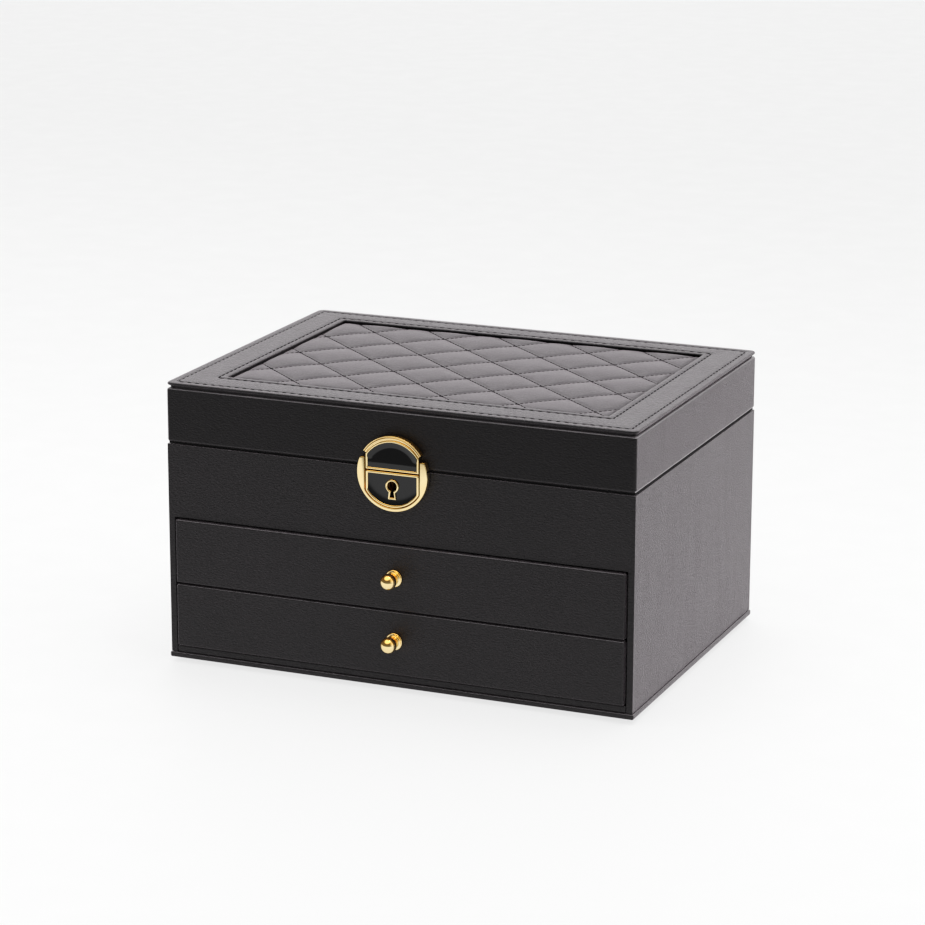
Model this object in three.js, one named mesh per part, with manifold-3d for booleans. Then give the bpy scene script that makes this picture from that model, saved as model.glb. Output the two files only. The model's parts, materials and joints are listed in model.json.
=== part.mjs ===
// Leather-covered jewellery case: hinged lid with a quilted recess, two drawers and a key lock.
// Millimetres, +Z up, front towards -Y. The origin is the middle of the footprint, on the ground.

import * as THREE from 'three';
import { mergeVertices } from 'three/addons/utils/BufferGeometryUtils.js';
import Module from 'manifold-3d';

const wasm = await Module();
wasm.setup();

// ---------------------------------------------------------------- driving dimensions

const WIDTH = 235;
const DEPTH = 171;
const BOARD = 3;
const FASCIA_BOARD = 6;
const SHELF_BOARD = 2;
const GAP = 0.3;

const SIDE = WIDTH / 2;
const FRONT = -DEPTH / 2;
const REAR = DEPTH / 2;
const INNER_SIDE = SIDE - BOARD - GAP;
const INNER_REAR = REAR - BOARD - GAP;
const FASCIA_BACK = FRONT + FASCIA_BOARD;

// Levels above the ground.
const FOOT = { radius: 7, height: 2.3, inset: 15 };
const BASE = { bottom: 2.4, top: 5, overhang: 0.6 };
const CARCASS = { bottom: 5.3, top: 108.1 };
const RAIL_TOP = 8.5;
const DRAWERS = {
  lower: { bottom: 8.9, top: 40, tray: 8.9, knob: 25.4 },
  upper: { bottom: 40.4, top: 72, tray: 41.4, knob: 56.1 },
};
const DRAWER_SHELF_TOP = 41;
const COMPARTMENT_FLOOR = 72.4;
const LID = { bottom: 108.3, top: 135.2 };
const PANEL = { bottom: 135.5, top: 137.9, step: 134.7, corner: 3, bevel: 1.1 };
const LID_BOARD = { bottom: 131.8, top: 134.4 };
const MIRROR = { bottom: 129.3, thickness: 2, halfWidth: 98, halfDepth: 64 };

// Recess in the lid's top, a little nearer the back than the front.
const RECESS = { side: 96, front: -64, back: 68, padTop: 137.3 };

const DRAWER = {
  halfWidth: 114, proud: 1.5, frontBoard: 4, trayHalfWidth: 112.2, trayBoard: 2,
  trayBack: 70, wallBelowTop: 2.8, dividerBelowTop: 8,
  crossDividerY: -8, longDividerX: 40, longDividerStart: 3,
};

const LINING = { thickness: 1.2, top: 106.6 };
const DIVIDER = { thickness: 2.4, bottom: 75.2, top: 101, longY: 5, leftX: 15, rightX: -30 };
const ROLLS = { count: 6, height: 19, width: 20, bed: 2 };

// The knob's profile runs from its foot disc to the ball at its tip.
const KNOB = {
  gap: 0.1, discRadius: 4.15, discHeight: 1.2, neck: 1.9, ballRadius: 3.85, ballCentre: 6.5,
  edge: 0.4, flare: 0.7,
};
const KNOB_SCREW = { shank: 1.1, clearance: 1.4, depth: 6, head: 2.8, headHeight: 1.6 };

const HINGE = {
  x: 68, y: REAR + 2.7, z: 108.2, halfLength: 15, middle: 4.85, split: 5.15, knuckle: 2.3,
  bore: 1.15, pin: 1.05, plateNear: 0.3, plateFar: 1.3, plateReach: 14, sweep: 2.6,
  pinReach: 15.4,
};

// Lock face, seen from the front. The lower half is centred on LOCK.z, the upper on CATCH.z.
const LOCK = {
  z: 106.3, radius: 17.6, ringRadius: 16.1, channel: 13.8, cheekTop: 7, back: 0.5, face: 3.6,
  shieldRadius: 15.8, shieldHalf: 13.3, shieldTop: 0.9, rim: 1.1, pocketDepth: 1,
};
const CATCH = {
  z: 107.4, bottom: 107.9, radius: 17.1, ridgeRadius: 16.5, half: 13.25, cut: 32,
  enamelZ: 106.5, enamelRadius: 14.9, foot: 0.9, strip: 0.85, flange: 3, face: 3.6,
  pocketDepth: 0.9,
};
// Parts laid into the face's pockets stand clear of their floor and sides.
const INLAY = { side: 0.15, lift: 0.1, thickness: 0.5, rimThickness: 1.1 };
const KEYHOLE = { z: 100.7, head: 2.4, slotNeck: 0.75, slotFoot: 1.2, reach: 5.4, rim: 0.85 };

// Lock works behind the face: a pressed cup, a rotor with a crank pin, and a sliding bolt.
const CUP = { halfWidth: 11.6, bottom: 92.9, top: 105.2, front: 0.3, back: 5.5, wall: 0.8 };
const ROTOR = { journal: 2.9, journalBore: 3, drum: 3.3, front: 1.3, back: 3.9, keyway: 1.05 };
const CRANK = { radius: 2.2, pin: 0.6, restAngle: Math.PI / 4, end: 5 };
const BOLT = {
  front: 4.1, back: 4.9, halfWidth: 2.45, bottom: 99.9, top: 104.1, slotHalf: 0.8,
  slotBottom: 101.3, slotTop: 103.6, nib: -5.6, nibBottom: 100.3, nibTop: 102.1,
};
const HOOK = {
  x: -6.6, halfThick: 0.4, bottom: 98.2, windowBottom: 99.7, windowTop: 102.7, windowFront: 3.8,
  windowBack: 5.2, front: 3.3, back: 5.7, flangeBack: 4.3, flangeHalf: 12, flangeBottom: 110.2,
  flangeTop: 117.5, throatHalf: 1.7, throatRoom: 0.8,
};
const POST = { radius: 1, hole: 1.3, lidX: 9.5, lidZ: 113.8, cheekX: 15.6, cheekZ: 104.6 };

// Lid panels, drawer knobs and hinge knuckles reach past the carcass by different amounts, so the
// whole case is shifted to put the middle of its full depth on the origin.
const FRONT_REACH = DRAWER.proud + KNOB.gap + KNOB.ballCentre + KNOB.ballRadius;
const REAR_REACH = HINGE.y + HINGE.knuckle - REAR;
const SHIFT = (FRONT_REACH - REAR_REACH) / 2;

// ---------------------------------------------------------------- materials

function material(color, roughness, metalness = 0) {
  return new THREE.MeshStandardMaterial({ color, roughness, metalness });
}

const LEATHER = material(0x2b2a2c, 0.5);
const VELVET = material(0x3a3a3e, 0.95);
const FABRIC = material(0x34343a, 0.95);
const GOLD = material(0xe0b45a, 0.15, 1);
const ENAMEL = material(0x0c0c0d, 0.12);
const STEEL = material(0xa8a8a8, 0.35, 1);
const BRASS = material(0xc9a24a, 0.3, 1);
const GLASS = material(0xdfe6ea, 0.02, 1);
const FELT = material(0x202020, 0.9);

// ---------------------------------------------------------------- shape helpers

const caseGroup = new THREE.Group();
caseGroup.position.y = SHIFT;

function add(name, geometry, finish) {
  const mesh = new THREE.Mesh(geometry, finish);
  mesh.name = name;
  caseGroup.add(mesh);
  return mesh;
}

function box([x0, x1], [y0, y1], [z0, z1]) {
  const geometry = new THREE.BoxGeometry(x1 - x0, y1 - y0, z1 - z0);
  geometry.translate((x0 + x1) / 2, (y0 + y1) / 2, (z0 + z1) / 2);
  return geometry;
}

// A cylinder whose axis runs front to back.
function rodY(radius, [y0, y1], x, z, segments = 32) {
  const geometry = new THREE.CylinderGeometry(radius, radius, y1 - y0, segments);
  geometry.translate(x, (y0 + y1) / 2, z);
  return geometry;
}

// A cylinder whose axis runs left to right.
function rodX(radius, [x0, x1], y, z, segments = 32) {
  const geometry = new THREE.CylinderGeometry(radius, radius, x1 - x0, segments);
  geometry.rotateZ(Math.PI / 2);
  geometry.translate((x0 + x1) / 2, y, z);
  return geometry;
}

// A flat outline drawn as seen from the front, given thickness between two heights above the face.
function facePlate(shape, low, high, curveSegments = 24) {
  const options = { depth: high - low, bevelEnabled: false, curveSegments };
  const geometry = new THREE.ExtrudeGeometry(shape, options);
  geometry.rotateX(Math.PI / 2);
  geometry.translate(0, FRONT - low, 0);
  return geometry;
}

function toSolid(geometry) {
  const bare = geometry.clone();
  bare.deleteAttribute('normal');
  bare.deleteAttribute('uv');
  const merged = mergeVertices(bare);
  const vertProperties = merged.attributes.position.array;
  const triVerts = Uint32Array.from(merged.index.array);
  return new wasm.Manifold(new wasm.Mesh({ numProp: 3, vertProperties, triVerts }));
}

function toGeometry(solid) {
  const { vertProperties, triVerts } = solid.getMesh();
  const geometry = new THREE.BufferGeometry();
  geometry.setAttribute('position', new THREE.BufferAttribute(vertProperties, 3));
  geometry.setIndex(new THREE.BufferAttribute(triVerts, 1));
  geometry.computeVertexNormals();
  return geometry;
}

function cut(body, ...tools) {
  const solid = tools.reduce((rest, tool) => rest.subtract(toSolid(tool)), toSolid(body));
  return toGeometry(solid);
}

function join(...bodies) {
  const [first, ...others] = bodies.map(toSolid);
  return toGeometry(others.reduce((sum, other) => sum.add(other), first));
}

// ---------------------------------------------------------------- carcass

function addBase() {
  const half = SIDE + BASE.overhang;
  const reach = REAR + BASE.overhang;
  add('base_board', box([-half, half], [-reach, reach], [BASE.bottom, BASE.top]), LEATHER);

  for (const [column, x] of [['left', -SIDE + FOOT.inset], ['right', SIDE - FOOT.inset]]) {
    for (const [row, y] of [['front', FRONT + FOOT.inset], ['rear', REAR - FOOT.inset]]) {
      const pad = new THREE.CylinderGeometry(FOOT.radius, FOOT.radius, FOOT.height, 24);
      pad.rotateX(Math.PI / 2);
      const foot = add(`foot_${row}_${column}`, pad, FELT);
      foot.position.set(x, y, FOOT.height / 2);
    }
  }
}

// Below the fascia the side board's front edge shows, and behind the fascia it stops short.
function addSidePanels() {
  const notch = [CARCASS.top + 1, COMPARTMENT_FLOOR - GAP];
  for (const [name, sign] of [['left', -1], ['right', 1]]) {
    const x = [sign * SIDE, sign * (SIDE - BOARD)].sort((a, b) => a - b);
    const board = box(x, [FRONT, REAR], [CARCASS.bottom, CARCASS.top]);
    const step = box([x[0] - 1, x[1] + 1], [FRONT - 1, FASCIA_BACK + GAP], notch.toReversed());
    add(`side_panel_${name}`, cut(board, step), LEATHER);
  }
}

function lockPocket() {
  const half = CUP.halfWidth + GAP;
  const depth = [FRONT - 1, FASCIA_BACK + 1];
  const pocket = box([-half, half], depth, [CUP.bottom - GAP, CUP.top + GAP]);
  const throat = box(
    [HOOK.x - HOOK.throatHalf, HOOK.x + HOOK.throatHalf],
    [FRONT + HOOK.front - HOOK.throatRoom, FASCIA_BACK + 1],
    [CUP.top - 1, CARCASS.top + 1],
  );
  const posts = [-1, 1].map((sign) => rodY(POST.hole, depth, sign * POST.cheekX, POST.cheekZ));
  return [pocket, throat, ...posts];
}

function addCarcassBoards() {
  const inner = [-INNER_SIDE, INNER_SIDE];
  const rail = [FRONT, FRONT + BOARD];
  const bay = [FRONT + BOARD + GAP, INNER_REAR];
  const top = [FASCIA_BACK + GAP, INNER_REAR];

  const rear = [REAR - BOARD, REAR];
  add('rear_panel', box(inner, rear, [CARCASS.bottom, CARCASS.top]), LEATHER);

  const fascia = box([-SIDE, SIDE], [FRONT, FASCIA_BACK], [COMPARTMENT_FLOOR, CARCASS.top]);
  add('front_fascia', cut(fascia, ...lockPocket()), LEATHER);

  add('bottom_rail', box(inner, rail, [CARCASS.bottom, RAIL_TOP]), LEATHER);
  add('case_floor', box(inner, bay, [CARCASS.bottom, RAIL_TOP]), VELVET);
  add('drawer_shelf', box(inner, bay, [DRAWER_SHELF_TOP - SHELF_BOARD, DRAWER_SHELF_TOP]), VELVET);
  const floor = [COMPARTMENT_FLOOR, COMPARTMENT_FLOOR + SHELF_BOARD];
  add('compartment_floor', box(inner, top, floor), VELVET);
}

function addCompartment() {
  const outerX = INNER_SIDE;
  const outerY = [FASCIA_BACK + GAP, INNER_REAR];
  const innerX = outerX - LINING.thickness;
  const innerY = [outerY[0] + LINING.thickness, outerY[1] - LINING.thickness];
  const level = [COMPARTMENT_FLOOR + SHELF_BOARD + GAP, LINING.top];
  const wall = box([-outerX, outerX], outerY, level);
  const hollow = box([-innerX, innerX], innerY, [level[0] - 1, level[1] + 1]);
  add('compartment_lining', cut(wall, hollow), VELVET);

  const height = [DIVIDER.bottom, DIVIDER.top];
  const half = DIVIDER.thickness / 2;
  const left = -innerX + GAP;
  const right = innerX - GAP;
  const front = innerY[0] + GAP;
  const back = innerY[1] - GAP;
  const longFront = DIVIDER.longY - half - GAP;
  const longBack = DIVIDER.longY + half + GAP;
  const longY = [DIVIDER.longY - half, DIVIDER.longY + half];
  add('divider_long', box([left, right], longY, height), VELVET);
  const leftX = [DIVIDER.leftX - half, DIVIDER.leftX + half];
  add('divider_cross_left', box(leftX, [front, longFront], height), VELVET);
  const rightX = [DIVIDER.rightX - half, DIVIDER.rightX + half];
  add('divider_cross_right', box(rightX, [longBack, back], height), VELVET);

  const bay = [left, leftX[0] - GAP];
  const pitch = (bay[1] - bay[0]) / ROLLS.count;
  const bed = [DIVIDER.bottom, DIVIDER.bottom + ROLLS.bed];
  const rolls = [box(bay, [front, longFront], bed)];
  for (let i = 0; i < ROLLS.count; i += 1) {
    rolls.push(ringRoll(bay[0] + (i + 0.5) * pitch, [front, longFront]));
  }
  add('ring_rolls', join(...rolls), FABRIC);
}

// A flat-bottomed roll with a half-round top, running front to back.
function ringRoll(x, [front, back]) {
  const radius = ROLLS.width / 2;
  const shape = new THREE.Shape();
  shape.moveTo(-radius, 0);
  shape.lineTo(radius, 0);
  shape.absarc(0, ROLLS.height - radius, radius, 0, Math.PI);
  const options = { depth: back - front, bevelEnabled: false, curveSegments: 16 };
  const geometry = new THREE.ExtrudeGeometry(shape, options);
  geometry.rotateX(Math.PI / 2);
  geometry.translate(x, back, DIVIDER.bottom);
  return geometry;
}

// ---------------------------------------------------------------- lid

function roundedRectangle(halfWidth, front, back, radius) {
  const shape = new THREE.Shape();
  const turn = Math.PI / 2;
  shape.absarc(halfWidth - radius, back - radius, radius, 0, turn);
  shape.absarc(-halfWidth + radius, back - radius, radius, turn, 2 * turn);
  shape.absarc(-halfWidth + radius, front + radius, radius, 2 * turn, 3 * turn);
  shape.absarc(halfWidth - radius, front + radius, radius, 3 * turn, 4 * turn);
  return shape;
}

function addLidWalls() {
  const height = [LID.bottom, LID.top];
  const full = [-SIDE, SIDE];
  const between = [FRONT + BOARD + GAP, INNER_REAR];

  const front = box(full, [FRONT, FRONT + BOARD], height);
  const posts = [-1, 1].map((sign) => (
    rodY(POST.hole, [FRONT - 1, FRONT + BOARD + 1], sign * POST.lidX, POST.lidZ)
  ));
  add('lid_front', cut(front, ...posts), LEATHER);

  add('lid_rear', box(full, [REAR - BOARD, REAR], height), LEATHER);

  add('lid_left', box([-SIDE, -SIDE + BOARD], between, height), LEATHER);
  add('lid_right', box([SIDE - BOARD, SIDE], between, height), LEATHER);
  const board = [LID_BOARD.bottom, LID_BOARD.top];
  add('lid_top_board', box([-INNER_SIDE, INNER_SIDE], between, board), LEATHER);
}

// The frame's flange lies on the walls, and its step drops inside them to the top board.
function addLidPanel() {
  const bevel = PANEL.bevel;
  const outline = roundedRectangle(SIDE - bevel, FRONT + bevel, REAR - bevel, PANEL.corner);
  const flange = new THREE.ExtrudeGeometry(outline, {
    depth: PANEL.top - PANEL.bottom - 2 * bevel,
    bevelThickness: bevel,
    bevelSize: bevel,
    bevelSegments: 3,
    curveSegments: 4,
  });
  flange.translate(0, 0, PANEL.bottom + bevel);
  const stepSide = INNER_SIDE - GAP;
  const stepY = [FRONT + BOARD + 2 * GAP, INNER_REAR - GAP];
  const step = box([-stepSide, stepSide], stepY, [PANEL.step, PANEL.bottom + 1]);
  const opening = box(
    [-RECESS.side, RECESS.side],
    [RECESS.front, RECESS.back],
    [PANEL.step - 1, PANEL.top + 1],
  );
  add('lid_panel_frame', cut(join(flange, step), opening), LEATHER);

  const pad = roundedRectangle(
    RECESS.side - 1 - GAP,
    RECESS.front + 1 + GAP,
    RECESS.back - 1 - GAP,
    1,
  );
  const cushion = new THREE.ExtrudeGeometry(pad, {
    depth: RECESS.padTop - PANEL.step - 2,
    bevelThickness: 1,
    bevelSize: 1,
    bevelSegments: 2,
    curveSegments: 2,
  });
  cushion.translate(0, 0, PANEL.step + 1);
  add('quilted_pad', cushion, LEATHER);
}

function addMirror() {
  const level = [MIRROR.bottom, MIRROR.bottom + MIRROR.thickness];
  const glassX = [-MIRROR.halfWidth, MIRROR.halfWidth];
  const glassY = [-MIRROR.halfDepth, MIRROR.halfDepth];
  add('mirror', box(glassX, glassY, level), GLASS);

  const side = [-INNER_SIDE, INNER_SIDE];
  const depth = [FRONT + BOARD + GAP, INNER_REAR];
  const surround = box(side, depth, level);
  const window = box(
    [glassX[0] - GAP, glassX[1] + GAP],
    [glassY[0] - GAP, glassY[1] + GAP],
    [level[0] - 1, level[1] + 1],
  );
  add('mirror_surround', cut(surround, window), VELVET);
}

// ---------------------------------------------------------------- hinges

function hingeKnuckles(x, spans) {
  return spans.map(([from, to]) => rodX(HINGE.knuckle, [x + from, x + to], HINGE.y, HINGE.z));
}

function hingeLeaf(x, direction, ownSpans, otherSpans) {
  const edge = HINGE.z + direction * HINGE.plateReach;
  const plate = box(
    [x - HINGE.halfLength, x + HINGE.halfLength],
    [REAR + HINGE.plateNear, REAR + HINGE.plateFar],
    [Math.min(HINGE.z, edge), Math.max(HINGE.z, edge)],
  );
  const swept = otherSpans.map(([from, to]) => (
    rodX(HINGE.sweep, [x + from, x + to], HINGE.y, HINGE.z)
  ));
  const bore = rodX(HINGE.bore, [x - 20, x + 20], HINGE.y, HINGE.z);
  const clear = cut(plate, ...swept);
  return cut(join(clear, ...hingeKnuckles(x, ownSpans)), bore);
}

function addHinges() {
  const outer = [[-HINGE.halfLength, -HINGE.split], [HINGE.split, HINGE.halfLength]];
  const middle = [[-HINGE.middle, HINGE.middle]];
  const outerSweep = [[-HINGE.halfLength - 1, -HINGE.middle], [HINGE.middle, HINGE.halfLength + 1]];
  const middleSweep = [[-HINGE.split, HINGE.split]];
  for (const [name, x] of [['left', -HINGE.x], ['right', HINGE.x]]) {
    add(`hinge_leaf_body_${name}`, hingeLeaf(x, -1, outer, middleSweep), BRASS);
    add(`hinge_leaf_lid_${name}`, hingeLeaf(x, 1, middle, outerSweep), BRASS);
    const span = [x - HINGE.pinReach, x + HINGE.pinReach];
    add(`hinge_pin_${name}`, rodX(HINGE.pin, span, HINGE.y, HINGE.z, 24), STEEL);
  }
}

// ---------------------------------------------------------------- drawers

function knobGeometry(z) {
  const profile = new THREE.Path();
  const { discRadius, discHeight, neck, ballRadius, ballCentre, edge, flare } = KNOB;
  const neckAngle = Math.asin(neck / ballRadius);
  profile.moveTo(0, 0);
  profile.lineTo(discRadius, 0);
  profile.lineTo(discRadius, discHeight - edge);
  profile.lineTo(discRadius - edge, discHeight);
  profile.lineTo(neck + flare, discHeight + edge / 2);
  profile.quadraticCurveTo(neck, discHeight + edge, neck, discHeight + 2 * flare);
  profile.absarc(0, ballCentre, ballRadius, neckAngle - Math.PI / 2, Math.PI / 2);
  const points = profile.getPoints(6);
  points[points.length - 1].x = 0;
  const geometry = new THREE.LatheGeometry(points, 24);
  geometry.rotateX(Math.PI);
  geometry.translate(0, FRONT - DRAWER.proud - KNOB.gap, z);
  return geometry;
}

function addDrawer(name, { bottom, top, tray, knob }) {
  const face = FRONT - DRAWER.proud;
  const back = face + DRAWER.frontBoard;
  const trayX = DRAWER.trayHalfWidth;
  const wall = [tray, top - DRAWER.wallBelowTop];
  const insideX = trayX - DRAWER.trayBoard - GAP;
  const start = back + GAP;
  const screwHole = rodY(KNOB_SCREW.clearance, [face - 1, back + 1], 0, knob, 16);

  const half = DRAWER.halfWidth;
  const board = box([-half, half], [face, back], [bottom, top]);
  add(`${name}_front`, cut(board, screwHole), LEATHER);

  const sideY = [start, DRAWER.trayBack];
  add(`${name}_side_left`, box([-trayX, -trayX + DRAWER.trayBoard], sideY, wall), VELVET);
  add(`${name}_side_right`, box([trayX - DRAWER.trayBoard, trayX], sideY, wall), VELVET);
  const backY = [DRAWER.trayBack - DRAWER.trayBoard, DRAWER.trayBack];
  add(`${name}_back`, box([-insideX, insideX], backY, wall), VELVET);
  const floorY = [start, backY[0] - GAP];
  const floor = [tray, tray + DRAWER.trayBoard];
  add(`${name}_bottom`, box([-insideX, insideX], floorY, floor), VELVET);

  const dividerZ = [floor[1] + GAP, top - DRAWER.dividerBelowTop];
  const thick = DIVIDER.thickness / 2;
  if (name === 'drawer_upper') {
    const dividerX = [-insideX + GAP, insideX - GAP];
    const dividerY = [DRAWER.crossDividerY - thick, DRAWER.crossDividerY + thick];
    add(`${name}_divider`, box(dividerX, dividerY, dividerZ), VELVET);
  } else {
    const dividerX = [DRAWER.longDividerX - thick, DRAWER.longDividerX + thick];
    const dividerY = [start + DRAWER.longDividerStart, floorY[1] - GAP];
    add(`${name}_divider`, box(dividerX, dividerY, dividerZ), VELVET);
  }

  const bore = rodY(KNOB_SCREW.shank + 0.1, [face - KNOB_SCREW.depth, face + 1], 0, knob, 16);
  add(`${name}_knob`, cut(knobGeometry(knob), bore), GOLD);
  const shankY = [face - KNOB_SCREW.depth + 0.5, back + 0.4];
  const shank = rodY(KNOB_SCREW.shank, shankY, 0, knob, 16);
  const headY = [back + 0.1, back + 0.1 + KNOB_SCREW.headHeight];
  const head = rodY(KNOB_SCREW.head, headY, 0, knob, 16);
  add(`${name}_knob_screw`, join(shank, head), STEEL);
}

// ---------------------------------------------------------------- lock face

// A U of constant height whose cheeks are crescents and whose foot is a ring.
function bezelShape() {
  const { z, radius, ringRadius, channel, cheekTop } = LOCK;
  const tip = Math.asin(cheekTop / radius);
  const drop = Math.acos(channel / ringRadius);
  const shape = new THREE.Shape();
  shape.moveTo(-channel, z + cheekTop);
  shape.absarc(0, z, radius, Math.PI - tip, 2 * Math.PI + tip);
  shape.lineTo(channel, z + cheekTop);
  shape.absarc(0, z, ringRadius, -drop, -Math.PI + drop, true);
  return shape;
}

// A shield with a flat top, straight sides and a round foot, drawn inset by a margin.
function shieldShape(margin) {
  const half = LOCK.shieldHalf - margin;
  const radius = LOCK.shieldRadius - margin;
  const drop = Math.acos(half / radius);
  const shape = new THREE.Shape();
  shape.moveTo(half, LOCK.z + LOCK.shieldTop - margin);
  shape.lineTo(-half, LOCK.z + LOCK.shieldTop - margin);
  shape.absarc(0, LOCK.z, radius, Math.PI + drop, 2 * Math.PI - drop);
  return shape;
}

// A keyhole: a round head over a slot that widens downwards, grown by a margin.
function keyholeShape(margin) {
  const { z, head, slotNeck, slotFoot, reach } = KEYHOLE;
  const radius = head + margin;
  const neck = slotNeck + margin;
  const foot = slotFoot + margin;
  const start = Math.asin(neck / radius) - Math.PI / 2;
  const shape = new THREE.Shape();
  shape.moveTo(-foot, z - reach - margin);
  shape.lineTo(foot, z - reach - margin);
  shape.absarc(0, z, radius, start, Math.PI - start);
  return shape;
}

function catchShape(radius) {
  const cut = THREE.MathUtils.degToRad(CATCH.cut);
  const shape = new THREE.Shape();
  shape.moveTo(-CATCH.half, CATCH.bottom);
  shape.lineTo(CATCH.half, CATCH.bottom);
  shape.lineTo(CATCH.half, CATCH.z + CATCH.half * Math.tan(cut));
  shape.absarc(0, CATCH.z, radius, cut, Math.PI - cut);
  shape.lineTo(-CATCH.half, CATCH.z + CATCH.half * Math.tan(cut));
  return shape;
}

function catchEnamelShape(margin) {
  const half = CATCH.half - CATCH.strip - margin;
  const radius = CATCH.enamelRadius - margin;
  const start = Math.acos(half / radius);
  const shape = new THREE.Shape();
  shape.moveTo(-half, CATCH.bottom + CATCH.foot + margin);
  shape.lineTo(half, CATCH.bottom + CATCH.foot + margin);
  shape.absarc(0, CATCH.enamelZ, radius, start, Math.PI - start);
  return shape;
}

function addLockFace() {
  const bezel = facePlate(bezelShape(), LOCK.back, LOCK.face, 32);
  const posts = [-1, 1].map((sign) => {
    const reach = [FRONT - LOCK.back - 0.5, FASCIA_BACK - 0.1];
    return rodY(POST.radius, reach, sign * POST.cheekX, POST.cheekZ, 16);
  });
  add('lock_bezel', join(bezel, ...posts), GOLD);

  const floor = LOCK.face - LOCK.pocketDepth;
  const body = facePlate(shieldShape(0), LOCK.back, LOCK.face);
  const pocket = facePlate(shieldShape(LOCK.rim), floor, LOCK.face + 1);
  const through = facePlate(keyholeShape(0), LOCK.back - 1, floor + 1);
  add('lock_shield', cut(body, pocket, through), GOLD);

  const laid = floor + INLAY.lift;
  const inlay = facePlate(shieldShape(LOCK.rim + INLAY.side), laid, laid + INLAY.thickness);
  const seat = facePlate(keyholeShape(KEYHOLE.rim + INLAY.side), floor - 1, floor + 2);
  add('lock_inlay', cut(inlay, seat), ENAMEL);

  const rim = facePlate(keyholeShape(KEYHOLE.rim), laid, laid + INLAY.rimThickness);
  const hole = facePlate(keyholeShape(0), floor - 1, floor + 2);
  add('keyhole_escutcheon', cut(rim, hole), GOLD);

  const base = facePlate(catchShape(CATCH.radius), LOCK.back, CATCH.flange);
  const ridge = facePlate(catchShape(CATCH.ridgeRadius), LOCK.back, CATCH.face);
  const enamelFloor = CATCH.face - CATCH.pocketDepth;
  const enamelPocket = facePlate(catchEnamelShape(0), enamelFloor, CATCH.face + 1);
  add('catch_plate', cut(join(base, ridge), enamelPocket), GOLD);
  const enamelBottom = enamelFloor + INLAY.lift;
  const enamelTop = enamelBottom + INLAY.thickness;
  const enamel = facePlate(catchEnamelShape(INLAY.side), enamelBottom, enamelTop);
  add('catch_inlay', enamel, ENAMEL);
}

// ---------------------------------------------------------------- lock works

function frontToBack(from, to) {
  return [FRONT + from, FRONT + to];
}

function addLockCase() {
  const { halfWidth, bottom, top, wall } = CUP;
  const cup = box([-halfWidth, halfWidth], frontToBack(CUP.front, CUP.back), [bottom, top]);
  const hollow = box(
    [-halfWidth + wall, halfWidth - wall],
    frontToBack(CUP.front + wall, CUP.back + 1),
    [bottom + wall, top - wall],
  );
  const throat = box(
    [HOOK.x - HOOK.throatHalf, HOOK.x + HOOK.throatHalf],
    frontToBack(HOOK.front - HOOK.throatRoom, CUP.back + 1),
    [top - 2, top + 1],
  );
  const journal = rodY(ROTOR.journalBore, frontToBack(0, 2), 0, KEYHOLE.z, 48);
  const bitSlot = facePlate(keyholeShape(0), -2, 0);
  add('lock_case', cut(cup, hollow, throat, journal, bitSlot), STEEL);
}

function addLockMovement() {
  const journal = rodY(ROTOR.journal, frontToBack(0.4, 2), 0, KEYHOLE.z, 48);
  const drum = rodY(ROTOR.drum, frontToBack(ROTOR.front, ROTOR.back), 0, KEYHOLE.z, 48);
  const keyway = box(
    [-ROTOR.keyway, ROTOR.keyway],
    frontToBack(0, ROTOR.back - 0.8),
    [KEYHOLE.z - 5, KEYHOLE.z + 0.8],
  );
  const pinX = CRANK.radius * Math.sin(CRANK.restAngle);
  const pinZ = KEYHOLE.z + CRANK.radius * Math.cos(CRANK.restAngle);
  const pin = rodY(CRANK.pin, frontToBack(ROTOR.back - 0.5, CRANK.end), pinX, pinZ, 16);
  add('lock_rotor', join(cut(join(journal, drum), keyway), pin), BRASS);

  const boltY = frontToBack(BOLT.front, BOLT.back);
  const yokeX = [pinX - BOLT.halfWidth, pinX + BOLT.halfWidth];
  const yoke = box(yokeX, boltY, [BOLT.bottom, BOLT.top]);
  const nib = box([BOLT.nib, yokeX[0] + 1], boltY, [BOLT.nibBottom, BOLT.nibTop]);
  const slot = box(
    [pinX - BOLT.slotHalf, pinX + BOLT.slotHalf],
    frontToBack(BOLT.front - 1, BOLT.back + 1),
    [BOLT.slotBottom, BOLT.slotTop],
  );
  add('lock_bolt', cut(join(yoke, nib), slot), STEEL);
}

// A bent strip: a flange and two posts inside the lid, and a tail with a window for the bolt.
function addCatchHook() {
  const flange = box(
    [-HOOK.flangeHalf, HOOK.flangeHalf],
    frontToBack(HOOK.front, HOOK.flangeBack),
    [HOOK.flangeBottom, HOOK.flangeTop],
  );
  const tail = box(
    [HOOK.x - HOOK.halfThick, HOOK.x + HOOK.halfThick],
    frontToBack(HOOK.front, HOOK.back),
    [HOOK.bottom, HOOK.flangeTop],
  );
  const window = box(
    [HOOK.x - 1, HOOK.x + 1],
    frontToBack(HOOK.windowFront, HOOK.windowBack),
    [HOOK.windowBottom, HOOK.windowTop],
  );
  const posts = [-1, 1].map((sign) => (
    rodY(POST.radius, frontToBack(-0.3, HOOK.front + 0.5), sign * POST.lidX, POST.lidZ, 16)
  ));
  add('catch_hook', join(cut(join(flange, tail), window), ...posts), STEEL);
}

// ---------------------------------------------------------------- assembly

addBase();
addSidePanels();
addCarcassBoards();
addCompartment();
addLidWalls();
addLidPanel();
addMirror();
addHinges();
addDrawer('drawer_upper', DRAWERS.upper);
addDrawer('drawer_lower', DRAWERS.lower);
addLockFace();
addLockCase();
addLockMovement();
addCatchHook();

const model = new THREE.Group();
model.add(caseGroup);

export default model;
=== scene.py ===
import json
import math

import bmesh
import bpy
from mathutils import Euler, Matrix, Vector


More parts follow.
